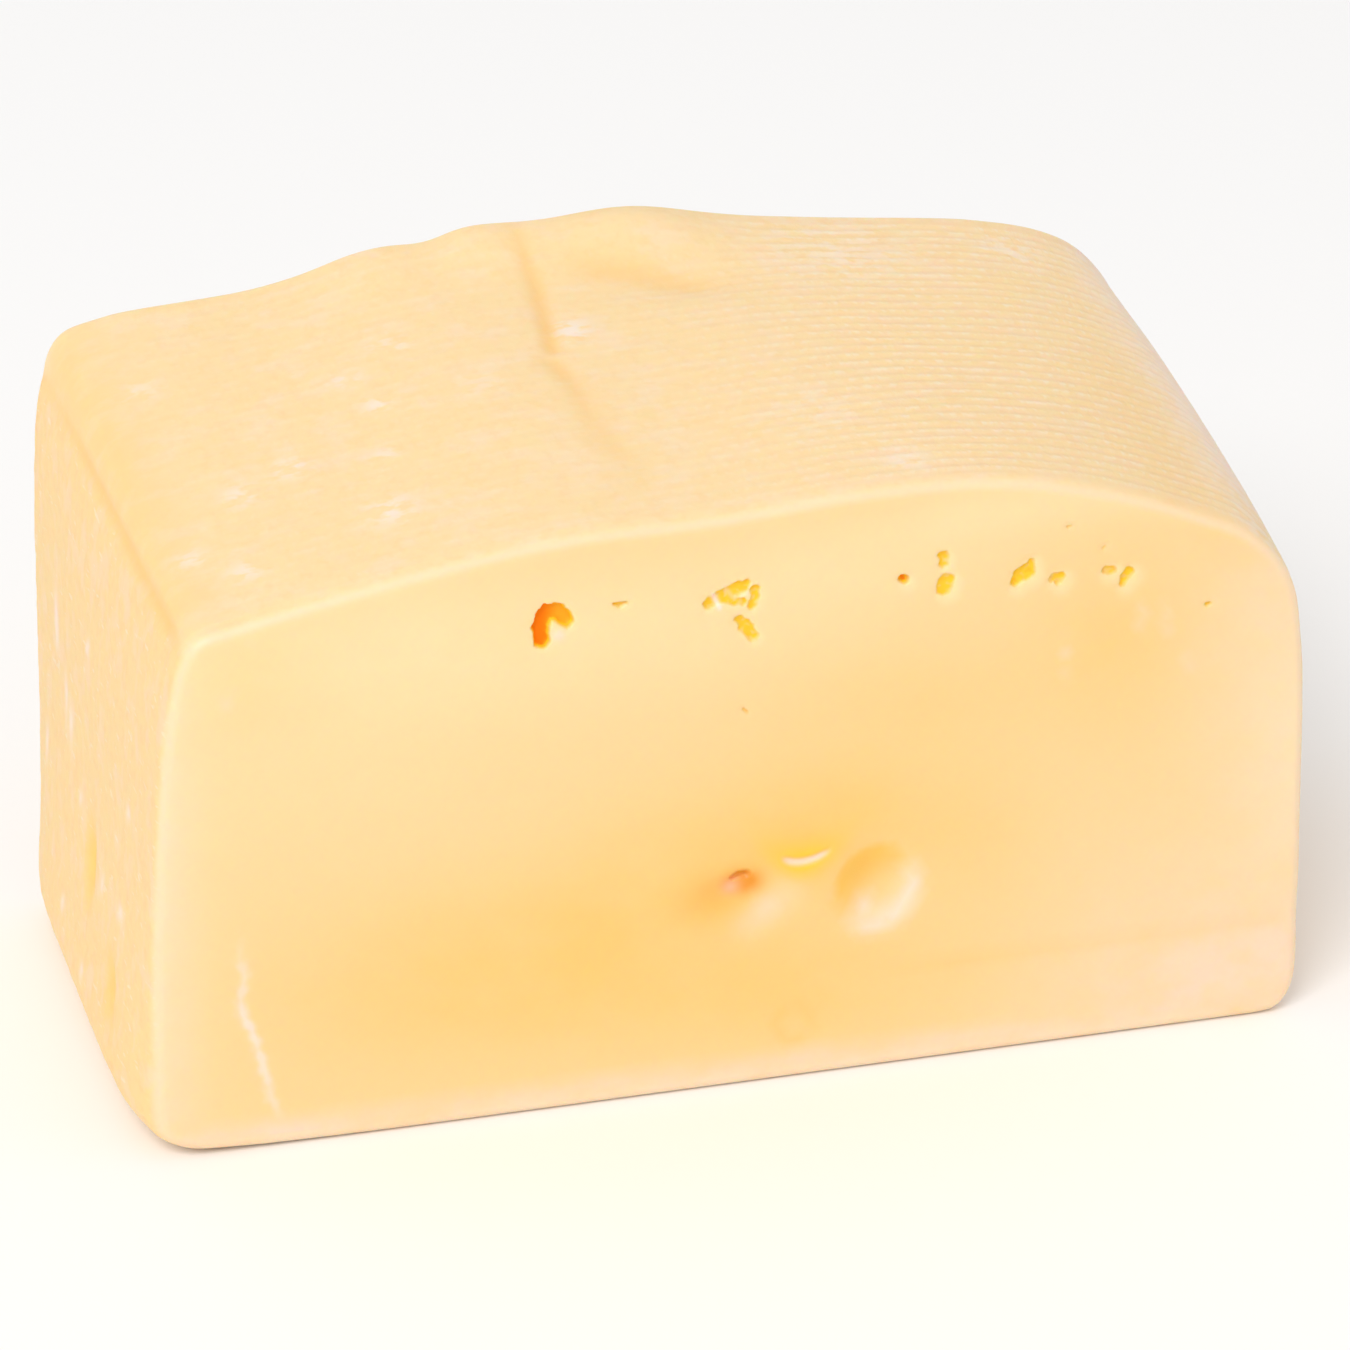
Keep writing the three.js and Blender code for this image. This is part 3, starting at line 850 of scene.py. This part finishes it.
# Colours laid over each other, each with the mark that bounds it, its strength, the cloud that
# breaks it up with where that cloud starts and is full, and its hex value.
tint = colour("F9D399")
for name, strength, cloud, start, full, code in (
    ("ripe_and_shade", 1.1, "zones", -0.6, 0.6, "F9CA77"),
    ("dry_and_highlight", 1.0, "zones", -0.4, 0.6, "F8E2B2"),
    ("blush", 1.0, "mottle", 0.0, 0.6, "FFDAC4"),
    ("rind", 0.85, "mottle", -0.5, 0.5, "FFDA9F"),
    ("trimmed", 0.85, "mottle", -0.5, 0.5, "F8CF83"),
    ("rind", 0.6, "mottle", 0.48, 0.66, "FEDEBA"),
    ("rind", 0.4, "curd", 0.48, 0.68, "F8CE8A"),
    ("trimmed", 0.5, "curd", 0.48, 0.68, "F5C583"),
    ("trimmed", 0.5, "mottle", 0.5, 0.66, "FDD5B4"),
    ("trimmed", 0.5, "grit", 0.66, 0.74, "FBE6CF"),
    ("base", 0.8, "mottle", 0.2, 0.6, "F4DCBC"),
    # Darker rib valleys are painted shade; the pale knots on the crests are partly dried paste and partly
    # painted highlight.
    ("valley", 0.4, "mottle", 0.3, 0.6, "F5C690"),
    ("crest", 0.75, "threads", 0.46, 0.64, "FFE6CA"),
    ("bloom", 1.1, "flakes", 0.44, 0.56, "FCE6D4"),
    # Below, the layers that darken the folds, dents, eyes, bowl, dimple and right side are painted shade,
    # and the pale edge line and some cream spots are painted highlights and glints.
    ("stain_and_shade", 1.0, "zones", -1.0, 0.0, "FCC060"),
    ("hollow", 2.2, "zones", -1.0, 0.0, "FFCC30"),
    ("dimple_shade", 1.0, "zones", -1.0, 0.0, "EA961E"),
    ("pink", 1.0, "zones", -1.0, 0.0, "FFBA8C"),
    # A painted highlight along the softened cut edges.
    ("edge", 0.9, "zones", -1.0, 0.0, "FADBB9"),
    ("cream", 1.0, "zones", -1.0, 0.0, "FFE0CC"),
):
    broken = add_node(
        tree,
        "ShaderNodeMapRange",
        {"Value": clouds[cloud], "From Min": start, "From Max": full, "To Min": 0.0, "To Max": strength},
    )
    amount = add_node(
        tree, "ShaderNodeMath", {0: broken, 1: marks[name]}, operation="MULTIPLY", use_clamp=True
    )
    tint = add_node(
        tree, "ShaderNodeMix", {0: amount, 6: tint, 7: colour(code)}, output=2, data_type="RGBA"
    )
# Only the deepest hollows glow orange, where the light has passed through the paste.
deepest = add_node(
    tree, "ShaderNodeMapRange", {"Value": marks["hollow"], "From Min": 0.58, "From Max": 0.93}
)
tint = add_node(
    tree, "ShaderNodeMix", {0: deepest, 6: tint, 7: colour("FF6200")}, output=2, data_type="RGBA"
)
tree.links.new(tint, shader.inputs["Base Color"])

# Light spreads through the paste, less so in the small deep hollows.
spread = add_node(
    tree,
    "ShaderNodeMapRange",
    {"Value": marks["hollow"], "From Min": 0.3, "From Max": 0.9, "To Min": 0.6, "To Max": 0.1},
)
tree.links.new(spread, shader.inputs["Subsurface Weight"])
# The open grain inside them gives no shine back.
shine = add_node(
    tree,
    "ShaderNodeMapRange",
    {"Value": marks["hollow"], "From Min": 0.2, "From Max": 0.8, "To Min": 0.5, "To Max": 0.03},
)
tree.links.new(shine, shader.inputs["Specular IOR Level"])

# The rind is drier and duller than the cut paste.
dulled = add_node(tree, "ShaderNodeMath", {0: marks["rind"], 1: marks["trimmed"]}, operation="ADD")
roughness = add_node(tree, "ShaderNodeMapRange", {"Value": dulled, "To Min": 0.36, "To Max": 0.58})
tree.links.new(roughness, shader.inputs["Roughness"])

# Fine relief, too small for the mesh: the height of each cloud in millimetres, by mark.
relief_height = 0.0
for name, cloud, tall in (
    ("cloth", "threads", 0.09),
    ("rind", "curd", 0.04),
    ("trimmed", "grit", 0.05),
    ("trimmed", "curd", 0.06),
    ("bloom", "flakes", 0.05),
):
    bounded = add_node(tree, "ShaderNodeMath", {0: clouds[cloud], 1: marks[name]}, operation="MULTIPLY")
    relief_height = add_node(
        tree, "ShaderNodeMath", {0: bounded, 1: tall * MM, 2: relief_height}, operation="MULTIPLY_ADD"
    )
bumped = add_node(tree, "ShaderNodeBump", {"Height": relief_height, "Distance": 1.0, "Strength": 1.0})
tree.links.new(bumped, shader.inputs["Normal"])

# Relief that repeats over the surface: ribs from the press cloth on the rind, crumbs on the
# trimmed end, and the knife's slight waves in the cut faces.
relief = bpy.data.node_groups.new("pressed_and_cut_relief", "GeometryNodeTree")
relief_sizes = {
    "Rib Pitch": 1.82 * MM,
    "Rib Height": 0.05 * MM,
    "Rib Wander": 1.6 * MM,
    "Wander Length": 14 * MM,
    "Crumb Size": 2.2 * MM,
    "Crumb Height": 0.3 * MM,
    "Knife Wave Length": 13 * MM,
    "Knife Wave Height": 0.25 * MM,
    "Seed": 4.0,
}
relief.interface.new_socket("Geometry", in_out="INPUT", socket_type="NodeSocketGeometry")
for name in relief_sizes:
    relief.interface.new_socket(name, in_out="INPUT", socket_type="NodeSocketFloat")
relief.interface.new_socket("Material", in_out="INPUT", socket_type="NodeSocketMaterial")
relief.interface.new_socket("Geometry", in_out="OUTPUT", socket_type="NodeSocketGeometry")
given = relief.nodes.new("NodeGroupInput").outputs
position = add_node(relief, "GeometryNodeInputPosition")
bounds = {
    name: add_node(relief, "GeometryNodeInputNamedAttribute", {"Name": name}, data_type="FLOAT")
    for name in ("cloth", "trimmed", "base")
}

lumps = {}
for name, size, detail in (
    ("wander", given["Wander Length"], 1.0),
    ("crumb", given["Crumb Size"], 3.0),
    ("wave", given["Knife Wave Length"], 2.0),
):
    frequency = add_node(relief, "ShaderNodeMath", {0: 1.0, 1: size}, operation="DIVIDE")
    cloud = add_node(
        relief,
        "ShaderNodeTexNoise",
        {"Vector": position, "W": given["Seed"], "Scale": frequency, "Detail": detail},
        output="Fac",
        noise_dimensions="4D",
    )
    lumps[name] = add_node(relief, "ShaderNodeMath", {0: cloud, 1: 0.5}, operation="SUBTRACT")

# The ribs follow lines of equal depth into the block, wandering a little.
depth_in = add_node(relief, "ShaderNodeSeparateXYZ", {0: position}, output="Y")
wandered = add_node(
    relief,
    "ShaderNodeMath",
    {0: lumps["wander"], 1: given["Rib Wander"], 2: depth_in},
    operation="MULTIPLY_ADD",
)
turns = add_node(relief, "ShaderNodeMath", {0: wandered, 1: given["Rib Pitch"]}, operation="DIVIDE")
phase = add_node(relief, "ShaderNodeMath", {0: turns, 1: math.tau}, operation="MULTIPLY")
sine = add_node(relief, "ShaderNodeMath", {0: phase}, operation="SINE")

height = 0.0
cut = add_node(relief, "ShaderNodeMath", {0: 1.0, 1: bounds["base"]}, operation="SUBTRACT")
for shape, tall, bound in (
    (sine, given["Rib Height"], bounds["cloth"]),
    (lumps["crumb"], given["Crumb Height"], bounds["trimmed"]),
    (lumps["wave"], given["Knife Wave Height"], cut),
):
    bounded = add_node(relief, "ShaderNodeMath", {0: shape, 1: bound}, operation="MULTIPLY")
    height = add_node(relief, "ShaderNodeMath", {0: bounded, 1: tall, 2: height}, operation="MULTIPLY_ADD")
offset = add_node(
    relief,
    "ShaderNodeVectorMath",
    {0: add_node(relief, "GeometryNodeInputNormal"), "Scale": height},
    operation="SCALE",
)
moved = given["Geometry"]
# The ribs' crests and valleys are stored for the paste, which paints the valleys darker as painted shade
# and the crests paler, partly dried paste and partly painted highlight.
for name, to_low, to_high in (("crest", 0.0, 1.0), ("valley", 1.0, 0.0)):
    share = add_node(
        relief,
        "ShaderNodeMapRange",
        {"Value": sine, "From Min": -0.3, "From Max": 1.0, "To Min": to_low, "To Max": to_high},
    )
    value = add_node(relief, "ShaderNodeMath", {0: share, 1: bounds["cloth"]}, operation="MULTIPLY")
    moved = add_node(
        relief,
        "GeometryNodeStoreNamedAttribute",
        {"Geometry": moved, "Name": name, "Value": value},
        data_type="FLOAT",
        domain="POINT",
    )
moved = add_node(relief, "GeometryNodeSetPosition", {"Geometry": moved, "Offset": offset})
realized = add_node(relief, "GeometryNodeRealizeInstances", {0: moved})
finished = add_node(relief, "GeometryNodeSetMaterial", {0: realized, "Material": given["Material"]})
add_node(relief, "NodeGroupOutput", {0: finished})

raw_block = bpy.data.objects.new("raw_block", block_mesh)
bpy.context.scene.collection.objects.link(raw_block)
pressing = raw_block.modifiers.new("pressing", "NODES")
pressing.node_group = relief
chosen = {**relief_sizes, "Material": paste}
for item in relief.interface.items_tree:
    if item.in_out == "INPUT" and item.name in chosen:
        pressing[item.identifier] = chosen[item.name]
depsgraph = bpy.context.evaluated_depsgraph_get()
finished_mesh = bpy.data.meshes.new_from_object(
    raw_block.evaluated_get(depsgraph), preserve_all_data_layers=True, depsgraph=depsgraph
)
bpy.data.objects.remove(raw_block)
finished_mesh.name = "cheese"
cheese = bpy.data.objects.new("cheese", finished_mesh)
bpy.context.scene.collection.objects.link(cheese)

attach(cheese, "root")
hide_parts("cheese_block")
